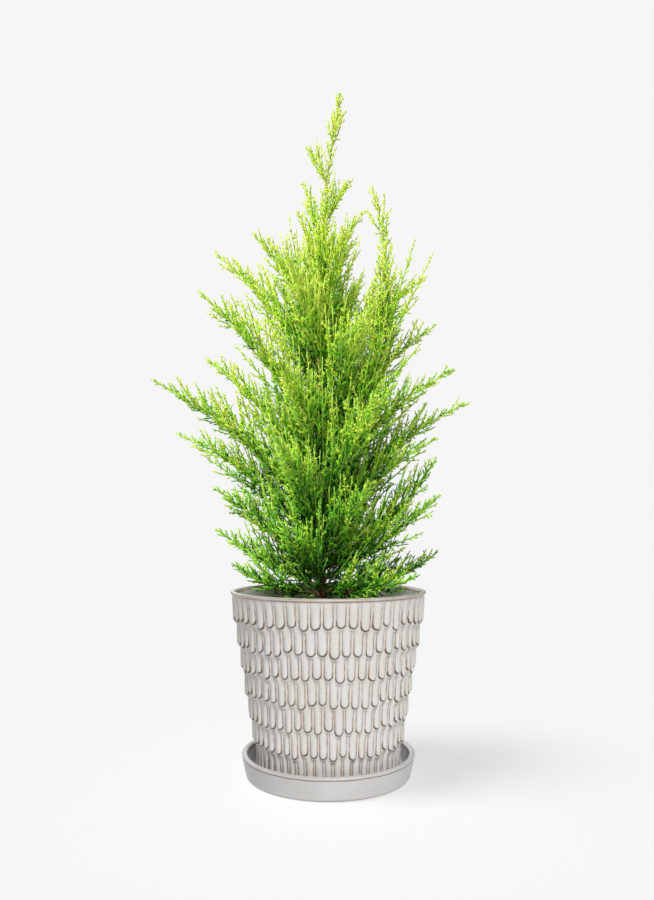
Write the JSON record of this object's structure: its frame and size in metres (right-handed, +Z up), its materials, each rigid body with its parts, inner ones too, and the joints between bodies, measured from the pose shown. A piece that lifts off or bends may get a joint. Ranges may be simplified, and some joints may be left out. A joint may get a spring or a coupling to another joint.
{
  "type": "potted goldcrest monterey cypress",
  "caption": "Young golden cypress with feathery upright plumes, in a stoneware pot with tiers of scallops, standing on a round saucer.",
  "frame": {"origin": "centre of the saucer's flat underside, on the pot's axis, at the surface that the saucer stands on", "axes": "+Z up along the pot's axis to the leader; the picture looks along +Y with +X to its right"},
  "size_m": [0.2923, 0.2038, 0.636],
  "materials": {
    "pot_glaze": "satin",
    "saucer_glaze": "satin",
    "potting_mix": "matte",
    "bark": "matte",
    "foliage": "matte"
  },
  "bodies": {
    "root": {"bough_crown_right": "bark", "bough_hip_back": "bark", "bough_hip_front": "bark", "bough_hip_left": "bark", "bough_hip_right": "bark", "bough_low_back": "bark", "bough_low_front": "bark", "bough_low_left": "bark", "bough_low_right": "bark", "bough_shoulder_left": "bark", "foliage_arm_back": "foliage", "foliage_arm_front": "foliage", "foliage_arm_left": "foliage", "foliage_arm_right": "foliage", "foliage_crest_back": "foliage", "foliage_crest_front": "foliage", "foliage_crest_left": "foliage", "foliage_crest_right": "foliage", "foliage_crown_back": "foliage", "foliage_crown_front": "foliage", "foliage_crown_left": "foliage", "foliage_crown_right": "foliage", "foliage_hip_back": "foliage", "foliage_hip_front": "foliage", "foliage_hip_left": "foliage", "foliage_hip_right": "foliage", "foliage_leader_high_left": "foliage", "foliage_leader_high_right": "foliage", "foliage_leader_low_back": "foliage", "foliage_leader_low_front": "foliage", "foliage_leader_low_left": "foliage", "foliage_leader_low_right": "foliage", "foliage_leader_tip": "foliage", "foliage_low_back": "foliage", "foliage_low_front": "foliage", "foliage_low_left": "foliage", "foliage_low_right": "foliage", "foliage_neck_back": "foliage", "foliage_neck_front": "foliage", "foliage_neck_left": "foliage", "foliage_neck_right": "foliage", "foliage_shoulder_back": "foliage", "foliage_shoulder_front": "foliage", "foliage_shoulder_left": "foliage", "foliage_shoulder_right": "foliage", "foliage_skirt_back": "foliage", "foliage_skirt_front": "foliage", "foliage_skirt_left": "foliage", "foliage_skirt_right": "foliage", "foliage_waist_back": "foliage", "foliage_waist_front": "foliage", "foliage_waist_left": "foliage", "foliage_waist_right": "foliage", "pot": "pot_glaze", "saucer": "saucer_glaze", "soil": "potting_mix", "trunk": "bark"}
  },
  "joints": []
}
